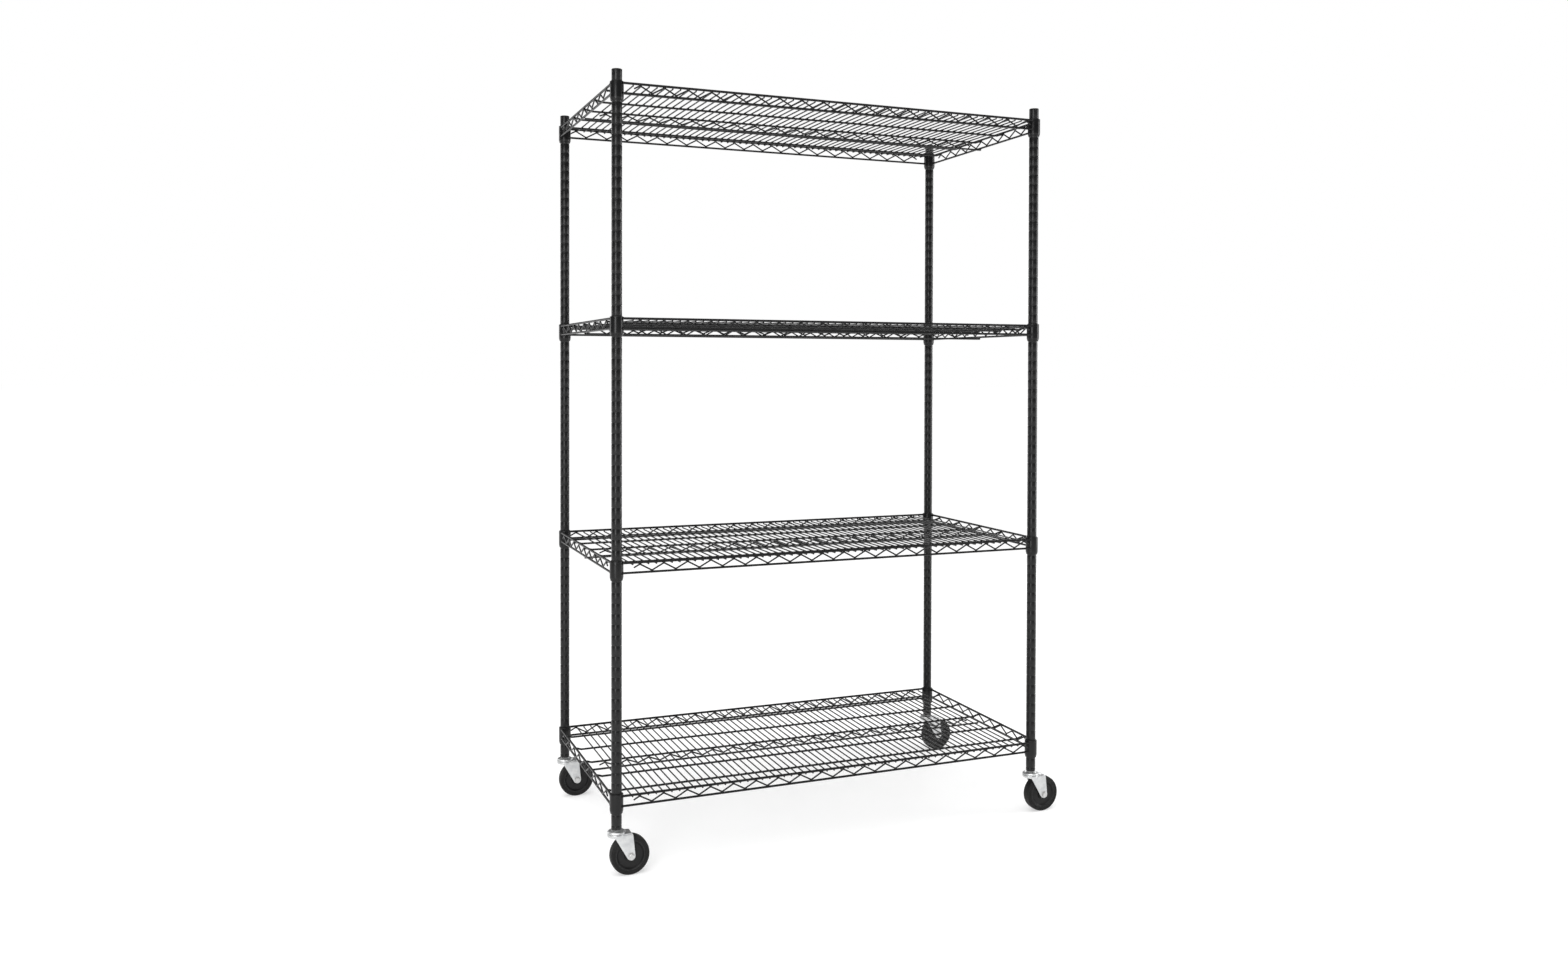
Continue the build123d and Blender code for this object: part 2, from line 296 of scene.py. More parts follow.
def noise(tree, coords, scale, detail=3.0, roughness=0.5, stretch=None):
    """Noise in the piece's own coordinates, scale per metre."""
    if stretch:
        mapping = tree.nodes.new("ShaderNodeMapping")
        mapping.inputs["Scale"].default_value = stretch
        link(tree, coords, mapping.inputs["Vector"])
        coords = mapping.outputs["Vector"]
    node = tree.nodes.new("ShaderNodeTexNoise")
    node.inputs["Scale"].default_value = scale
    node.inputs["Detail"].default_value = detail
    node.inputs["Roughness"].default_value = roughness
    link(tree, coords, node.inputs["Vector"])
    return node.outputs["Fac"]


def ramp(tree, factor, *stops):
    """Colour ramp through (position, colour) stops."""
    node = tree.nodes.new("ShaderNodeValToRGB")
    elements = node.color_ramp.elements
    for (position, colour), element in zip(stops, elements):
        element.position = position
        element.color = (*colour, 1)
    link(tree, factor, node.inputs["Fac"])
    return node.outputs["Color"]


def spread(tree, factor, low, high, out_low, out_high):
    node = tree.nodes.new("ShaderNodeMapRange")
    values = (low, high, out_low, out_high)
    for name, value in zip(("From Min", "From Max", "To Min", "To Max"), values):
        node.inputs[name].default_value = value
    link(tree, factor, node.inputs["Value"])
    return node.outputs["Result"]


def times(tree, a, b):
    node = tree.nodes.new("ShaderNodeMath")
    node.operation = "MULTIPLY"
    link(tree, a, node.inputs[0])
    link(tree, b, node.inputs[1])
    return node.outputs["Value"]


def mixed(tree, factor, a, colour):
    """Colour a turned into a plain colour where the factor is high."""
    node = tree.nodes.new("ShaderNodeMix")
    node.data_type = "RGBA"
    link(tree, factor, node.inputs["Factor"])
    link(tree, a, node.inputs["A"])
    node.inputs["B"].default_value = (*colour, 1)
    return node.outputs["Result"]


def bump(tree, height, strength, distance, before=None):
    node = tree.nodes.new("ShaderNodeBump")
    node.inputs["Strength"].default_value = strength
    node.inputs["Distance"].default_value = distance
    link(tree, height, node.inputs["Height"])
    if before:
        link(tree, before, node.inputs["Normal"])
    return node.outputs["Normal"]


def edges(tree, low, high):
    """High on worn convex edges."""
    geometry = tree.nodes.new("ShaderNodeNewGeometry")
    return spread(tree, geometry.outputs["Pointiness"], low, high, 0.0, 1.0)


def surface(name, metallic=0.0, **sockets):
    material = bpy.data.materials.new(name)
    material.use_nodes = True
    tree = material.node_tree
    shader = tree.nodes["Principled BSDF"]
    shader.inputs["Metallic"].default_value = metallic
    for socket, value in sockets.items():
        shader.inputs[socket.replace("_", " ")].default_value = value
    coords = tree.nodes.new("ShaderNodeTexCoord").outputs["Object"]
    return material, tree, shader, coords


def powder_coat():
    """Satin black epoxy coat: orange peel, a little uneven gloss, thin on sharp edges."""
    material, tree, shader, c = surface(
        "powder_coat", Specular_IOR_Level=0.3, Coat_Weight=0.05, Coat_Roughness=0.2
    )
    tone = ramp(tree, noise(tree, c, 23, 4), (0.3, (0.0030, 0.0031, 0.0034)), (0.7, (0.0060, 0.0060, 0.0063)))
    worn = times(tree, edges(tree, 0.515, 0.6), spread(tree, noise(tree, c, 310, 4), 0.42, 0.62, 0.0, 0.5))
    link(tree, mixed(tree, worn, tone, (0.05, 0.05, 0.05)), shader.inputs["Base Color"])
    link(tree, spread(tree, noise(tree, c, 90, 5), 0.3, 0.7, 0.27, 0.35), shader.inputs["Roughness"])
    peel = bump(tree, noise(tree, c, 620, 2, 0.4), 0.25, 0.00025)
    grit = bump(tree, noise(tree, c, 2600, 2), 0.12, 0.00008, peel)
    link(tree, grit, shader.inputs["Normal"])
    return material


def black_plastic():
    """Moulded nylon of the caps and sleeves."""
    material, tree, shader, c = surface("black_plastic", Specular_IOR_Level=0.3)
    tone = ramp(tree, noise(tree, c, 60, 5), (0.3, (0.004, 0.004, 0.0042)), (0.72, (0.009, 0.009, 0.009)))
    worn = times(tree, edges(tree, 0.52, 0.62), spread(tree, noise(tree, c, 420, 4), 0.4, 0.65, 0.0, 0.6))
    link(tree, mixed(tree, worn, tone, (0.06, 0.06, 0.06)), shader.inputs["Base Color"])
    link(tree, spread(tree, noise(tree, c, 150, 5), 0.3, 0.7, 0.42, 0.58), shader.inputs["Roughness"])
    link(tree, bump(tree, noise(tree, c, 1900, 3), 0.22, 0.00012), shader.inputs["Normal"])
    return material


def zinc():
    """Bright zinc plate on pressed steel: cloudy tone, fine rolling lines, rubbed edges."""
    material, tree, shader, c = surface("zinc", metallic=1.0)
    tone = ramp(tree, noise(tree, c, 55, 6, 0.6), (0.32, (0.55, 0.56, 0.57)), (0.7, (0.74, 0.745, 0.74)))
    worn = times(tree, edges(tree, 0.52, 0.6), spread(tree, noise(tree, c, 260, 4), 0.35, 0.6, 0.0, 0.7))
    link(tree, mixed(tree, worn, tone, (0.86, 0.86, 0.85)), shader.inputs["Base Color"])
    lines = noise(tree, c, 120, 5, 0.6, (1.0, 1.0, 9.0))
    link(tree, spread(tree, lines, 0.3, 0.7, 0.34, 0.5), shader.inputs["Roughness"])
    brushed = bump(tree, lines, 0.15, 0.0001)
    link(tree, bump(tree, noise(tree, c, 900, 3), 0.12, 0.0001, brushed), shader.inputs["Normal"])
    return material


def bolt_zinc():
    """Duller plated fasteners."""
    material, tree, shader, c = surface("bolt_zinc", metallic=1.0)
    tone = ramp(tree, noise(tree, c, 210, 5, 0.6), (0.3, (0.46, 0.46, 0.455)), (0.72, (0.66, 0.66, 0.65)))
    worn = times(tree, edges(tree, 0.52, 0.62), spread(tree, noise(tree, c, 500, 3), 0.35, 0.6, 0.0, 0.8))
    link(tree, mixed(tree, worn, tone, (0.8, 0.8, 0.79)), shader.inputs["Base Color"])
    link(tree, spread(tree, noise(tree, c, 330, 5), 0.3, 0.7, 0.36, 0.52), shader.inputs["Roughness"])
    link(tree, bump(tree, noise(tree, c, 1500, 3), 0.15, 0.0001), shader.inputs["Normal"])
    return material


def wheel_plastic():
    """Black polypropylene wheel centre with a fine spark texture."""
    material, tree, shader, c = surface("wheel_plastic", Specular_IOR_Level=0.3)
    tone = ramp(tree, noise(tree, c, 70, 5), (0.3, (0.0040, 0.0040, 0.0042)), (0.72, (0.009, 0.009, 0.009)))
    worn = times(tree, edges(tree, 0.52, 0.62), spread(tree, noise(tree, c, 300, 4), 0.42, 0.62, 0.0, 0.6))
    link(tree, mixed(tree, worn, tone, (0.075, 0.075, 0.075)), shader.inputs["Base Color"])
    link(tree, spread(tree, noise(tree, c, 120, 5), 0.3, 0.7, 0.38, 0.52), shader.inputs["Roughness"])
    link(tree, bump(tree, noise(tree, c, 1600, 3), 0.25, 0.00012), shader.inputs["Normal"])
    return material


def tyre_rubber():
    """Hard black rubber with a little floor dust rubbed into the tread."""
    material, tree, shader, c = surface("tyre_rubber", Specular_IOR_Level=0.25)
    tone = ramp(tree, noise(tree, c, 85, 6), (0.3, (0.005, 0.005, 0.005)), (0.72, (0.010, 0.0098, 0.0095)))
    patches = spread(tree, noise(tree, c, 190, 6, 0.65), 0.5, 0.72, 0.0, 0.45)
    dust = times(tree, edges(tree, 0.5, 0.54), patches)
    link(tree, mixed(tree, dust, tone, (0.085, 0.082, 0.078)), shader.inputs["Base Color"])
    link(tree, spread(tree, noise(tree, c, 130, 5), 0.3, 0.7, 0.52, 0.7), shader.inputs["Roughness"])
    grain = bump(tree, noise(tree, c, 1400, 4), 0.3, 0.00015)
    link(tree, grain, shader.inputs["Normal"])
    return material


MATERIALS = {
    "powder_coat": powder_coat(),
    "black_plastic": black_plastic(),
    "zinc": zinc(),
    "bolt_zinc": bolt_zinc(),
    "wheel_plastic": wheel_plastic(),
    "tyre": tyre_rubber(),
}


# ---------------------------------------------------------------- pieces


def make(shape, node, body, slot, origins):
    """One piece that stands for a CAD node, drawn once round each origin (metres)."""
    mesh = bpy.data.meshes.new(f"{node}_model")
    points = [tuple(origin + p * MM) for origin in origins for p in shape.points]
    count = len(shape.points)
    faces = [
        [k * count + i for i in face] for k in range(len(origins)) for face in shape.faces
    ]
    mesh.from_pydata(points, [], faces)
    grid = bmesh.new()
    grid.from_mesh(mesh)
    bmesh.ops.remove_doubles(grid, verts=grid.verts, dist=1e-7)
    bmesh.ops.dissolve_degenerate(grid, edges=grid.edges, dist=1e-7)
    bmesh.ops.recalc_face_normals(grid, faces=grid.faces)
    grid.to_mesh(mesh)
    grid.free()
    mesh.shade_smooth()
    mesh.set_sharp_from_angle(angle=math.radians(38))
    piece = bpy.data.objects.new(f"{node}_model", mesh)
    bpy.context.scene.collection.objects.link(piece)
    mesh.materials.append(MATERIALS[slot])
    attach(piece, body)
    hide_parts(node)
    return piece


def middle(node):
    low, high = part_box(node)
    return (low + high) / 2


def half_width(node):
    """Half a node's extent along Y, in millimetres."""
    low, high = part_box(node)
    return (high.y - low.y) / 2 / MM


rails_low, rails_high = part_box("shelf_1_rim_rails")
rim_x = (rails_high.x - rails_low.x) / 2 / MM - RAIL_R
rim_y = (rails_high.y - rails_low.y) / 2 / MM - RAIL_R
rail_drop = (rails_high.z - rails_low.z) / MM - RAIL_R - LOWER_RAIL_R
rack_x = (rails_low.x + rails_high.x) / 2
foot_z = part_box("post_front_left")[0].z
tube_length = (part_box("post_front_left")[1].z - foot_z) / MM
post_r = (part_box("post_front_left")[1].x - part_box("post_front_left")[0].x) / 2 / MM
shelf_origins = {
    n: Vector((rack_x, 0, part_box(f"shelf_{n}_rim_rails")[1].z - RAIL_R * MM)) for n in SHELVES
}
foot_origins = {}
for corner in CORNERS:
    centre = middle(f"post_{corner}")
    foot_origins[corner] = Vector((centre.x, centre.y, foot_z))
corner_marks = [(origin - Vector((rack_x, 0, foot_z))) / MM for origin in foot_origins.values()]
post_x = max(mark.x for mark in corner_marks)
post_y = max(mark.y for mark in corner_marks)


def posts():
    """Tube with a rolled groove every inch, cap and threaded foot insert."""
    first = (shelf_origins[1].z - foot_z) / MM - GROOVE_DROP
    while first > GROOVE_PITCH:
        first -= GROOVE_PITCH
    dip = ((-1.0, 0.0), (-0.72, 0.3), (-0.4, 0.86), (0.0, 1.0), (0.4, 0.86), (0.72, 0.3), (1.0, 0.0))
    inner = post_r - POST_WALL
    outline = [(inner, tube_length), (inner, 0), (post_r - 0.3, 0), (post_r, 0.3)]
    height = first
    while height < tube_length - 3:
        for along, share in dip:
            outline.append((post_r - GROOVE_DEPTH * share, height + GROOVE_HALF * along))
        height += GROOVE_PITCH
    outline += [(post_r, tube_length - 0.3), (post_r - 0.3, tube_length)]
    shape = Shape()
    lathe(shape, outline, sides=40)
    for corner in CORNERS:
        make(shape, f"post_{corner}", "rack", "powder_coat", [foot_origins[corner]])

    cap_low, cap_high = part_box("post_caps")
    top = (cap_high.z - foot_z) / MM
    cap = Shape()
    profile = [
        (0, top),
        (post_r * 0.62, top - 0.05),
        (post_r, top - 0.75),
        (post_r, tube_length),
        (inner - FIT_GAP, tube_length),
        (inner - FIT_GAP, (cap_low.z - foot_z) / MM),
        (0, (cap_low.z - foot_z) / MM),
    ]
    lathe(cap, softened(profile, {1: 6.0, 2: 1.3, 5: 1.0}, 5))
    make(cap, "post_caps", "rack", "black_plastic", list(foot_origins.values()))

    insert = Shape()
    insert_top = (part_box("post_foot_inserts")[1].z - foot_z) / MM
    profile = [
        (4.85, 0),
        (inner - FIT_GAP, 0),
        (inner - FIT_GAP, insert_top),
        (4.85, insert_top),
    ]
    lathe(insert, softened(profile, {0: 0.5, 1: 0.6, 2: 1.0}, 3))
    make(insert, "post_foot_inserts", "rack", "bolt_zinc", list(foot_origins.values()))


def zigzag(first, count, top, bottom):
    """Truss line in the XZ plane: `count` peaks from x = first, each end left at mid height."""
    half = TRUSS_PITCH / 2
    rise = top - bottom
    tall = rise
    for _ in range(30):
        tall = rise + 2 * TRUSS_BEND * (math.sqrt(1 + (tall / half) ** 2) - 1)
    over = (tall - rise) / 2
    centre = (top + bottom) / 2
    corners = [Vector((first - half / 2, 0, centre))]
    for i in range(count):
        corners.append(Vector((first + i * TRUSS_PITCH, 0, top + over)))
        corners.append(Vector((first + i * TRUSS_PITCH + half, 0, bottom - over)))
    corners[-1] = Vector((first + (count - 1) * TRUSS_PITCH + half / 2, 0, centre))
    return bent(corners, TRUSS_BEND)


def truss_side(first, count, out, turned):
    """One rim truss with its spot welds, turned about Z into its side of the shelf."""
    top = -math.sqrt((RAIL_R + TRUSS_R) ** 2 - TRUSS_OUT**2)
    bottom = -rail_drop + math.sqrt((LOWER_RAIL_R + TRUSS_R) ** 2 - TRUSS_OUT**2)
    side = Shape()
    path, radii = cut_ends(zigzag(first, count, top, bottom), TRUSS_R)
    tube(side, path, (0, 1, 0), radii, 12)
    for i in range(count):
        x = first + i * TRUSS_PITCH
        share = RAIL_R / (RAIL_R + TRUSS_R)
        nugget(side, (x, TRUSS_OUT * (1 - share), top * share), LONG_WELD)
    for i in range(count - 1):
        x = first + (i + 0.5) * TRUSS_PITCH
        share = LOWER_RAIL_R / (LOWER_RAIL_R + TRUSS_R)
        z = -rail_drop + (bottom + rail_drop) * share
        nugget(side, (x, TRUSS_OUT * (1 - share), z), LONG_WELD)
    turning = Matrix.Rotation(math.radians(turned), 4, "Z")
    return side, turning @ Matrix.Translation((0, -out - TRUSS_OUT, 0))


def shelves():
    """One shelf, drawn once and placed at each height."""
    rails = Shape()
    for z, radius in ((0, RAIL_R), (-rail_drop, LOWER_RAIL_R)):
        for sign in (-1, 1):
            reach = post_x - math.sqrt(COLLAR_R**2 - (rim_y - post_y) ** 2) + WELD_SETBACK
            run = [Vector((-reach, sign * rim_y, z)), Vector((reach, sign * rim_y, z))]
            path, radii = welded_ends(run, radius, 1.1)
            tube(rails, path, (0, 0, 1), radii, 16)
            reach = post_y - math.sqrt(COLLAR_R**2 - (rim_x - post_x) ** 2) + WELD_SETBACK
            run = [Vector((sign * rim_x, -reach, z)), Vector((sign * rim_x, reach, z))]
            path, radii = welded_ends(run, radius, 1.1)
            tube(rails, path, (0, 0, 1), radii, 16)

    front_first = FRONT_SHIFT - (FRONT_PEAKS - 1) * TRUSS_PITCH / 2
    side_first = -(SIDE_PEAKS - 1) * TRUSS_PITCH / 2
    trusses = Shape()
    for turned in (0, 180):
        trusses.join(*truss_side(front_first, FRONT_PEAKS, rim_y, turned))
    for turned in (90, -90):
        trusses.join(*truss_side(side_first, SIDE_PEAKS, rim_x, turned))

    deck_low, deck_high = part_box("shelf_1_deck_wires")
    deck_z = (middle("shelf_1_deck_wires").z - shelf_origins[1].z) / MM
    deck_first = (deck_low.x - rack_x) / MM + DECK_R
    deck_step = ((deck_high.x - deck_low.x) / MM - 2 * DECK_R) / (DECK_COUNT - 1)
    deck_end = (deck_high.y - deck_low.y) / 2 / MM
    xs = [deck_first + i * deck_step for i in range(DECK_COUNT)]
    support_low, support_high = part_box("shelf_1_support_wires")
    outer = (support_high.y - support_low.y) / 2 / MM - SUPPORT_R
    support_ys = (-outer, -outer / 2, outer / 2, outer)
    support_z = (support_low.z - shelf_origins[1].z) / MM + SUPPORT_R
    support_end = (support_high.x - support_low.x) / 2 / MM

    deck = Shape()
    for x in xs:
        run = [Vector((x, -deck_end, deck_z)), Vector((x, deck_end, deck_z))]
        path, radii = cut_ends(run, DECK_R, 0.45)
        tube(deck, path, (0, 0, 1), radii, 12)
        for y in (*support_ys, 0):
            nugget(deck, (x, y, deck_z - DECK_R), (2.1, 2.5, 0.95))
        for y in (-rim_y + 0.4, rim_y - 0.4):
            nugget(deck, (x, y, deck_z + DECK_R), (2.2, 1.9, 0.9))

    def lengthwise(y, z_middle):
        high = -(RAIL_R + SUPPORT_R)
        corners = [
            Vector((-support_end, y, high)),
            Vector((-support_end + JOGGLE_FLAT, y, high)),
            Vector((-support_end + JOGGLE_END, y, z_middle)),
            Vector((support_end - JOGGLE_END, y, z_middle)),
            Vector((support_end - JOGGLE_FLAT, y, high)),
            Vector((support_end, y, high)),
        ]
        return cut_ends(bent(corners, JOGGLE_BEND), SUPPORT_R)

    supports = Shape()
    for y in support_ys:
        path, radii = lengthwise(y, support_z)
        tube(supports, path, (0, 1, 0), radii, 14)
        for sign in (-1, 1):
            nugget(supports, (sign * (rim_x - WELD_SETBACK), y, -RAIL_R), CROSS_WELD)

    spine_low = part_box("shelf_1_centre_truss")[0]
    lower_z = (spine_low.z - shelf_origins[1].z) / MM + SUPPORT_R
    spine = Shape()
    path, radii = lengthwise(0, support_z)
    tube(spine, path, (0, 1, 0), radii, 14)
    run = [Vector((-support_end, 0, lower_z)), Vector((support_end, 0, lower_z))]
    path, radii = cut_ends(run, SUPPORT_R)
    tube(spine, path, (0, 1, 0), radii, 14)
    top = support_z - SUPPORT_R - TRUSS_R - WELD_GAP
    bottom = lower_z + SUPPORT_R + TRUSS_R + WELD_GAP
    first = -(FRONT_PEAKS - 1) * TRUSS_PITCH / 2
    path, radii = cut_ends(zigzag(first, FRONT_PEAKS, top, bottom), TRUSS_R)
    tube(spine, path, (0, 1, 0), radii, 12)
    for i in range(FRONT_PEAKS):
        nugget(spine, (first + i * TRUSS_PITCH, 0, top + TRUSS_R), FLAT_WELD)
    for i in range(FRONT_PEAKS - 1):
        nugget(spine, (first + (i + 0.5) * TRUSS_PITCH, 0, bottom - TRUSS_R), FLAT_WELD)
    for sign in (-1, 1):
        x = sign * (rim_x - WELD_SETBACK)
        nugget(spine, (x, 0, -RAIL_R), CROSS_WELD)
        nugget(spine, (x, 0, lower_z + SUPPORT_R), CROSS_WELD)

    collars, sleeves = collars_and_sleeves()
    for n in SHELVES:
        at = [shelf_origins[n]]
        corners = [shelf_origins[n] + mark * MM for mark in corner_marks]
        make(rails, f"shelf_{n}_rim_rails", "rack", "powder_coat", at)
        make(trusses, f"shelf_{n}_rim_trusses", "rack", "powder_coat", at)
        make(deck, f"shelf_{n}_deck_wires", "rack", "powder_coat", at)
        make(supports, f"shelf_{n}_support_wires", "rack", "powder_coat", at)
        make(spine, f"shelf_{n}_centre_truss", "rack", "powder_coat", at)
        make(collars, f"shelf_{n}_corner_collars", "rack", "powder_coat", corners)
        make(sleeves, f"shelf_{n}_split_sleeves", "rack", "black_plastic", corners)


def collars_and_sleeves():
    """Tapered pressed collar, and the two halves of the plastic sleeve inside it."""
    low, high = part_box("shelf_1_corner_collars")
    bottom = (low.z - shelf_origins[1].z) / MM
    top = (high.z - shelf_origins[1].z) / MM
    low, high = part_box("shelf_1_split_sleeves")
    sleeve_top = (high.z - shelf_origins[1].z) / MM
    sleeve_bottom = (low.z - shelf_origins[1].z) / MM
    collar = Shape()
    profile = [
        (SLEEVE_FOOT_R + FIT_GAP, bottom),
        (COLLAR_R - 0.9, bottom),
        (COLLAR_R, bottom + 5),
        (COLLAR_R, top),
        (SLEEVE_TOP_R + 2 * FIT_GAP, top),
    ]
    lathe(collar, softened(profile, {1: 0.7, 2: 6.0, 3: 0.9, 4: 0.4}, 5), sides=56)

    sleeve = Shape()
    inner = post_r + FIT_GAP
    profile = [
        (inner, sleeve_bottom),
        (SLEEVE_FOOT_R, sleeve_bottom),
        (SLEEVE_TOP_R, sleeve_top),
        (inner, sleeve_top),
    ]
    gap = math.degrees(math.asin(SLEEVE_SLIT / 2 / inner))
    for start in (-90, 90):
        lathe(
            sleeve,
            softened(profile, {1: 0.7, 2: 0.4}, 3),
            sides=28,
            start=start + gap,
            sweep=180 - 2 * gap,
        )
    return collar, sleeve


# ---------------------------------------------------------------- casters


def hexagon(shape, radius, near, far, edge, axis="Z", centre=(0, 0, 0), turned=0.0):
    """Hexagonal head from height `near` to its chamfered face at `far`."""
    way = 1 if far > near else -1
    profile = [
        (0, near),
        (radius, near),
        (radius, far - way * edge * 0.7),
        (radius - edge, far),
        (0, far),
    ]
    lathe(shape, profile, centre, axis, 6, start=turned)


def caster_stem():
    """Stem, hexagon flange, race cap and the riveted head of the kingpin."""
    shape = Shape()
    stem_top = (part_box("caster_front_left_stem")[1].z - foot_z) / MM
    cap_r = half_width("caster_front_left_fork")
    stem = [(0, CAP_TOP), (STEM_R, CAP_TOP), (STEM_R, stem_top), (0, stem_top)]
    lathe(shape, softened(stem, {2: 0.8}), sides=24)
    hexagon(shape, STEM_NUT_R, CAP_TOP - 0.2, 0.0, 0.7)
    cap = [
        (0, CAP_TOP),
        (11.0, CAP_TOP),
        (12.2, CAP_TOP - 0.9),
        (16.0, CAP_TOP - 0.9),
        (19.8, CAP_TOP - 2.0),
        (cap_r, CAP_TOP - 4.2),
        (cap_r, CAP_BOTTOM),
        (0, CAP_BOTTOM),
    ]
    lathe(shape, softened(cap, {1: 0.6, 2: 0.7, 3: 4.0, 4: 3.0, 5: 1.6, 6: 0.7}, 5), sides=64)
    under = CROWN_TOP - CROWN_SHEET - 0.4
    rivet = [
        (0, CAP_BOTTOM),
        (KINGPIN_R, CAP_BOTTOM),
        (KINGPIN_R, under),
        (8.0, under),
        (8.0, under - 1.8),
        (5.6, under - 3.0),
        (0, under - 3.0),
    ]
    lathe(shape, softened(rivet, {4: 0.9, 5: 1.0}), sides=32)
    return shape


def fork_dish(shape):
    """Pressed race dish under the cap."""
    radius = half_width("caster_front_left_fork")
    dish = [
        (KINGPIN_R + FIT_GAP, CROWN_TOP),
        (radius, CROWN_TOP),
        (radius, CROWN_TOP - CROWN_SKIRT),
        (radius - 2.4, CROWN_TOP - CROWN_SKIRT),
        (radius - 2.4, CROWN_TOP - CROWN_SHEET),
        (KINGPIN_R + FIT_GAP, CROWN_TOP - CROWN_SHEET),
    ]
    lathe(shape, softened(dish, {1: 2.4, 2: 0.7, 3: 0.7, 4: 1.2}, 6), sides=64)


def fork_yoke():
    """Outer face of the yoke: one sheet over the crown and down both legs to round tips."""
    axle = (middle("caster_front_left_tyre") - foot_origins["front_left"]) / MM
    tip_r = axle.z - (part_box("caster_front_left_fork")[0].z - foot_z) / MM
    top = CROWN_TOP - 0.25
    columns = 14
    left_top = Vector((YOKE_FRONT, CROWN_TOP - CROWN_SKIRT - 1.0))
    right_top = Vector((CROWN_TAIL, top - YOKE_BEND - 1.0))
    centre = Vector((axle.x, axle.z))

    def tangent(point, sign):
        reach = point - centre
        return math.atan2(reach.y, reach.x) + sign * math.acos(tip_r / reach.length)

    left_angle = tangent(left_top, 1)
    right_angle = tangent(right_top, -1)
    left_foot = centre + tip_r * Vector((math.cos(left_angle), math.sin(left_angle)))
    right_foot = centre + tip_r * Vector((math.cos(right_angle), math.sin(right_angle)))

    flat = LEG_OUT - YOKE_BEND
    half_rows = []  # left x, right x, y, left z, right z, from the middle of the crown outwards
    for k in range(6):
        y = flat * k / 5
        half_rows.append((YOKE_FRONT, CROWN_TAIL, y, top, top))
    for k in range(1, 7):
        angle = math.pi / 2 * k / 6
        y = flat + YOKE_BEND * math.sin(angle)
        z = top - YOKE_BEND * (1 - math.cos(angle))
        half_rows.append((YOKE_FRONT, CROWN_TAIL, y, z, z))
    for k in range(13):
        share = k / 12
        left = left_top.lerp(left_foot, share)
        right = right_top.lerp(right_foot, share)
        half_rows.append((left.x, right.x, LEG_OUT, left.y, right.y))
    for k in range(1, 13):
        share = k / 12 * 0.97
        low = 1.5 * math.pi
        a = left_angle + (low - left_angle) % (2 * math.pi) * share
        b = right_angle - (right_angle + math.pi / 2) * share
        half_rows.append(
            (
                centre.x + tip_r * math.cos(a),
                centre.x + tip_r * math.cos(b),
                LEG_OUT,
                centre.y + tip_r * math.sin(a),
                centre.y + tip_r * math.sin(b),
            )
        )
    rows = [(a, b, -y, c, d) for a, b, y, c, d in reversed(half_rows[1:])] + half_rows

    grid = []
    for x_left, x_right, y, z_left, z_right in rows:
        line = []
        for i in range(columns + 1):
            share = i / columns
            x = x_left + (x_right - x_left) * share
            z = z_left + (z_right - z_left) * share
            depth = top - z
            roll = max(0.0, x - (CROWN_TAIL - 5)) if depth < 16 else 0.0
            if roll and x <= CROWN_TAIL:
                z -= (5 - math.sqrt(max(25 - roll * roll, 0))) * (1 - depth / 16) * 0.8
            inward = 0.0
            if abs(y) > flat and depth > YOKE_BEND:
                fold = max(0.0, 0.24 - share) / 0.24
                inward = 1.7 * fold * min(1.0, (depth - YOKE_BEND) / 8)
            line.append(Vector((x, y - math.copysign(inward, y), z)))
        grid.append(line)
    shape = Shape()
    shape.add([p for line in grid for p in line], bridge(grid, closed_ring=False))
    return shape


def thickened(shape, thickness):
    """Closes an open sheet by giving it thickness towards the inside of the yoke."""
    mesh = bpy.data.meshes.new("sheet")
    mesh.from_pydata([tuple(p) for p in shape.points], [], shape.faces)
    sheet = bpy.data.objects.new("sheet", mesh)
    bpy.context.scene.collection.objects.link(sheet)
    solid = sheet.modifiers.new("thickness", "SOLIDIFY")
    solid.thickness = thickness
    solid.offset = -1.0
    solid.use_even_offset = True
    soft = sheet.modifiers.new("edge", "BEVEL")
    soft.width = 0.55
    soft.segments = 3
    soft.limit_method = "ANGLE"
    soft.angle_limit = math.radians(50)
    evaluated = sheet.evaluated_get(bpy.context.evaluated_depsgraph_get())
    result = evaluated.to_mesh()
    closed = Shape()
    closed.add([v.co.copy() for v in result.vertices], [list(p.vertices) for p in result.polygons])
    evaluated.to_mesh_clear()
    bpy.data.objects.remove(sheet)
    bpy.data.meshes.remove(mesh)
    return closed


def axle_bolt():
    """Bolt, its hexagon head at the front, its nut at the back and a washer under each."""
    reach = half_width("caster_front_left_axle_bolt")
    shape = Shape()
    shank = [(0, -LEG_OUT), (BOLT_R, -LEG_OUT), (BOLT_R, reach), (0, reach)]
    lathe(shape, softened(shank, {2: 0.8}), axis="Y", sides=24)
    washer = [
        (WASHER_BORE, -LEG_OUT - 1.1),
        (WASHER_R, -LEG_OUT - 1.1),
        (WASHER_R, -LEG_OUT),
        (WASHER_BORE, -LEG_OUT),
    ]
    lathe(shape, softened(washer, {1: 0.3, 2: 0.3}, 2), axis="Y", sides=32)
    hexagon(shape, BOLT_HEAD_R, -LEG_OUT - 1.0, -reach, 0.9, "Y", turned=12)
    washer = [
        (WASHER_BORE, LEG_OUT),
        (WASHER_R, LEG_OUT),
        (WASHER_R, LEG_OUT + 0.9),
        (WASHER_BORE, LEG_OUT + 0.9),
    ]
    lathe(shape, softened(washer, {1: 0.3, 2: 0.3}, 2), axis="Y", sides=32)
    hexagon(shape, BOLT_HEAD_R, LEG_OUT + 0.8, LEG_OUT + 4.5, 0.8, "Y", turned=3)
    return shape


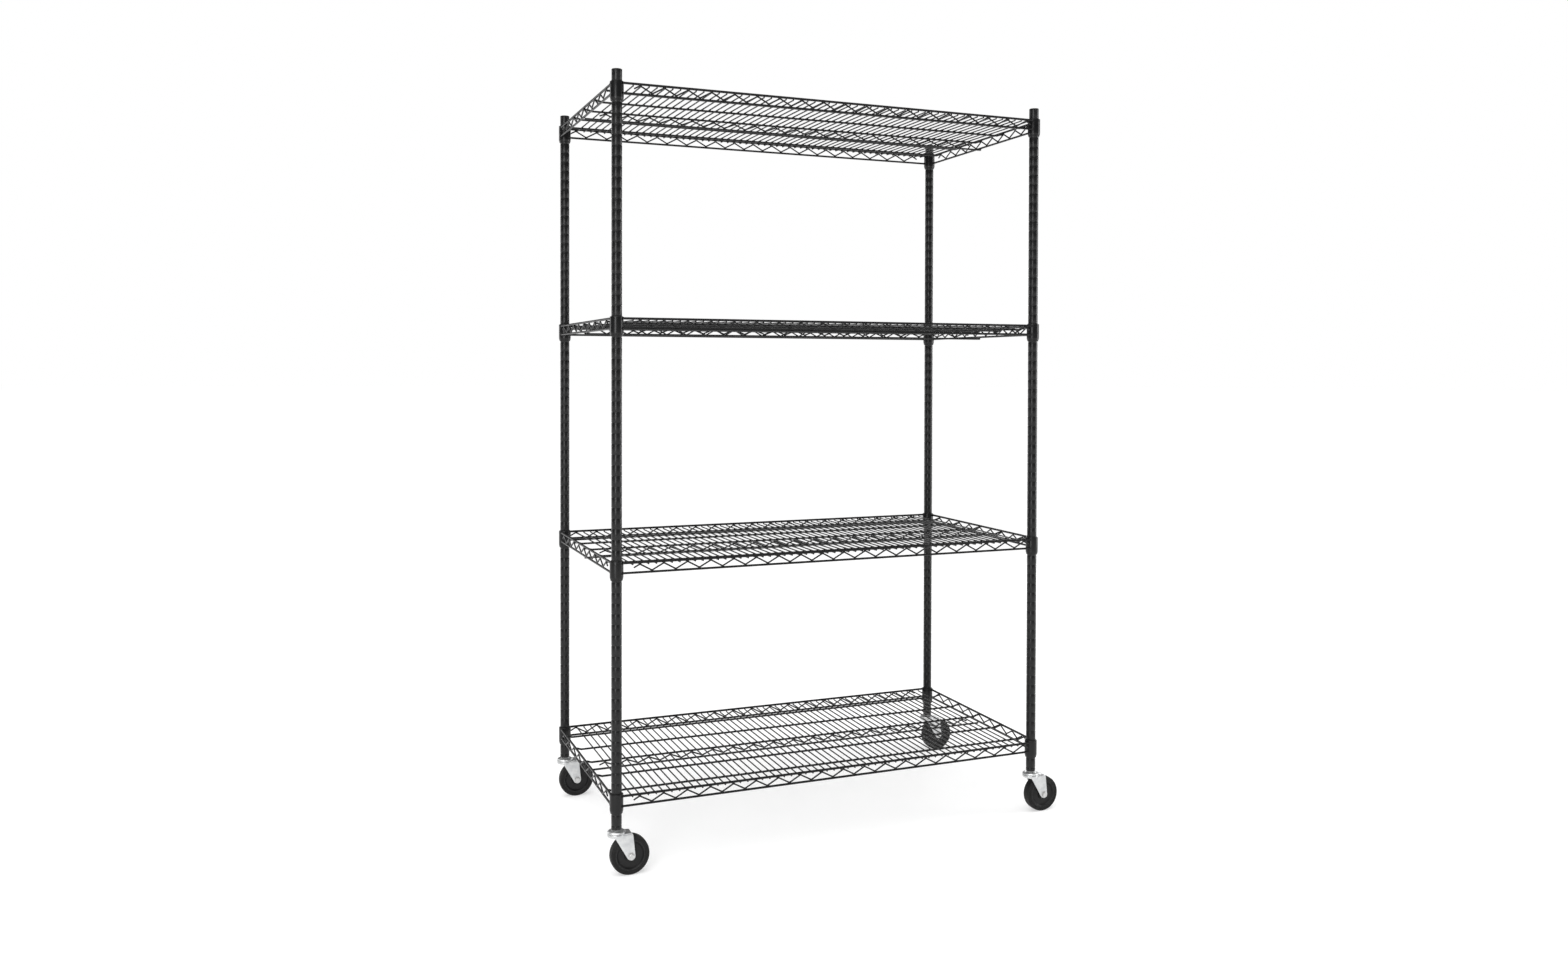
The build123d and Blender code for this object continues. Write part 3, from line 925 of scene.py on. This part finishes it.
def wheel_core():
    bore = BUSH_R + FIT_GAP
    hub_half = half_width("caster_front_left_wheel_core")
    half = [
        (bore, hub_half),
        (12.4, hub_half),
        (13.4, hub_half - 1),
        (15.0, 8.6),
        (TYRE_SEAT_R - 6.0, 7.6),
        (TYRE_SEAT_R - 3.6, 11.4),
        (TYRE_SEAT_R - 2.6, 12.2),
        (TYRE_SEAT_R, 12.2),
    ]
    whole = half + [(r, -w) for r, w in reversed(half)]
    size = len(whole)
    rounds = {0: 0.4, 1: 0.6, 2: 0.5, 3: 1.6, 4: 1.6, 5: 0.8, 6: 0.5}
    rounds.update({size - 1 - k: v for k, v in list(rounds.items())})
    shape = Shape()
    lathe(shape, softened(whole, rounds, 4), axis="Y", sides=72)
    return shape


def tyre():
    low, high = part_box("caster_front_left_tyre")
    wheel_r = (high.z - low.z) / 2 / MM
    side = (high.y - low.y) / 2 / MM
    half = [
        (TYRE_SEAT_R, side),
        (TYRE_SEAT_R + 2.6, side),
        (TYRE_SEAT_R + 3.3, side - 0.6),
        (TYRE_SEAT_R + 5.6, side - 0.6),
        (TYRE_SEAT_R + 6.4, side - 0.1),
        (wheel_r - 0.5, side - 1.6),
        (wheel_r - 0.1, 2.0),
        (wheel_r - 0.1, 0.35),
        (wheel_r, 0.0),
    ]
    whole = half + [(r, -w) for r, w in reversed(half[:-1])]
    size = len(whole)
    rounds = {0: 0.5, 1: 0.5, 2: 0.5, 3: 0.5, 4: 0.6, 5: 4.0}
    rounds.update({size - 1 - k: v for k, v in list(rounds.items())})
    shape = Shape()
    lathe(shape, softened(whole, rounds, 6), axis="Y", sides=96)
    return shape


def casters():
    stem = caster_stem()
    fork = Shape()
    fork_dish(fork)
    yoke = thickened(fork_yoke(), CROWN_SHEET - 0.2)
    fork.add(yoke.points, yoke.faces)
    bolt = axle_bolt()
    core = wheel_core()
    ring = tyre()
    bush = Shape()
    reach = half_width("caster_front_left_axle_bush")
    sleeve = [(BUSH_BORE, -reach), (BUSH_R, -reach), (BUSH_R, reach), (BUSH_BORE, reach)]
    lathe(bush, softened(sleeve, {1: 0.3, 2: 0.3}, 2), axis="Y", sides=32)
    for corner in CORNERS:
        foot = [foot_origins[corner]]
        axle = [middle(f"caster_{corner}_tyre")]
        make(stem, f"caster_{corner}_stem", "rack", "zinc", foot)
        make(fork, f"caster_{corner}_fork", f"swivel_{corner}", "zinc", foot)
        make(bolt, f"caster_{corner}_axle_bolt", f"swivel_{corner}", "bolt_zinc", axle)
        make(bush, f"caster_{corner}_axle_bush", f"swivel_{corner}", "bolt_zinc", axle)
        make(core, f"caster_{corner}_wheel_core", f"wheel_{corner}", "wheel_plastic", axle)
        make(ring, f"caster_{corner}_tyre", f"wheel_{corner}", "tyre", axle)


posts()
shelves()
casters()


# ---------------------------------------------------------------- camera, floor and light


def camera():
    """Wide view from the front left, a little above the middle, with a lowered picture plane."""
    yaw, pitch, roll = 0.3800, 0.0141, 0.0023
    ahead = Vector((math.sin(yaw), math.cos(yaw), 0))
    right = Vector((math.cos(yaw), -math.sin(yaw), 0))
    up = Vector((0, 0, 1))
    look = ahead * math.cos(pitch) - up * math.sin(pitch)
    rise = up * math.cos(pitch) + ahead * math.sin(pitch)
    x_axis = right * math.cos(roll) + rise * math.sin(roll)
    y_axis = rise * math.cos(roll) - right * math.sin(roll)
    data = bpy.data.cameras.new("camera")
    data.sensor_width = 36.0
    data.lens = 27.966
    data.shift_x = 0.0066
    data.shift_y = -0.0612
    data.clip_end = 500.0
    item = bpy.data.objects.new("camera", data)
    turned = Matrix((x_axis, y_axis, -look)).transposed().to_4x4()
    item.matrix_world = Matrix.Translation((-1.3433, -3.1305, 1.2166)) @ turned
    bpy.context.scene.collection.objects.link(item)
    bpy.context.scene.camera = item


def lamp(name, place, aim, size, radiance):
    """Softbox of a given brightness, seen only by the light it throws and its reflections."""
    data = bpy.data.lights.new(name, "AREA")
    data.shape = "RECTANGLE"
    data.size, data.size_y = size
    data.energy = radiance * math.pi * size[0] * size[1]
    item = bpy.data.objects.new(name, data)
    item.location = place
    item.rotation_euler = (Vector(aim) - Vector(place)).to_track_quat("-Z", "Y").to_euler()
    item.visible_camera = False
    bpy.context.scene.collection.objects.link(item)


def studio():
    """White surround for the camera, a darker one for reflections, a sun and four softboxes."""
    scene = bpy.context.scene
    scene.view_settings.view_transform = "Standard"
    world = bpy.data.worlds.new("studio")
    world.use_nodes = True
    tree = world.node_tree
    backdrop = tree.nodes["Background"]
    backdrop.inputs["Color"].default_value = (1, 1, 1, 1)
    room = tree.nodes.new("ShaderNodeBackground")
    room.inputs["Color"].default_value = (0.16, 0.16, 0.16, 1)
    path = tree.nodes.new("ShaderNodeLightPath")
    choice = tree.nodes.new("ShaderNodeMixShader")
    link(tree, path.outputs["Is Camera Ray"], choice.inputs["Fac"])
    link(tree, room.outputs["Background"], choice.inputs[1])
    link(tree, backdrop.outputs["Background"], choice.inputs[2])
    link(tree, choice.outputs["Shader"], tree.nodes["World Output"].inputs["Surface"])
    scene.world = world

    mesh = bpy.data.meshes.new("floor")
    count = 96
    radius = 80.0
    ring = [
        (radius * math.cos(2 * math.pi * i / count), radius * math.sin(2 * math.pi * i / count), 0)
        for i in range(count)
    ]
    mesh.from_pydata(ring, [], [tuple(range(count))])
    floor = bpy.data.objects.new("floor", mesh)
    material, tree, shader, c = surface("floor", Specular_IOR_Level=0.1, Emission_Strength=0.5)
    tone = ramp(tree, noise(tree, c, 1.5, 3), (0.3, (0.60, 0.60, 0.60)), (0.7, (0.61, 0.61, 0.61)))
    link(tree, tone, shader.inputs["Base Color"])
    shader.inputs["Roughness"].default_value = 0.95
    shader.inputs["Emission Color"].default_value = (1, 1, 1, 1)
    mesh.materials.append(material)
    scene.collection.objects.link(floor)

    data = bpy.data.lights.new("overhead", "SUN")
    data.energy = 2.35
    data.angle = math.radians(65)
    item = bpy.data.objects.new("overhead", data)
    item.rotation_euler = (math.radians(12), math.radians(-14), 0)
    scene.collection.objects.link(item)

    lamp("key", (-2.5, -2.8, 1.6), (0, 0, 1.0), (0.9, 2.4), 7.0)
    lamp("side", (3.6, -0.9, 1.6), (0, 0, 1.1), (1.6, 2.4), 4.5)
    lamp("back_left", (-2.6, 3.0, 1.8), (0, 0, 1.1), (1.1, 2.2), 3.0)
    lamp("back_right", (2.9, 3.2, 1.8), (0, 0, 1.1), (1.1, 2.2), 3.0)


camera()
studio()
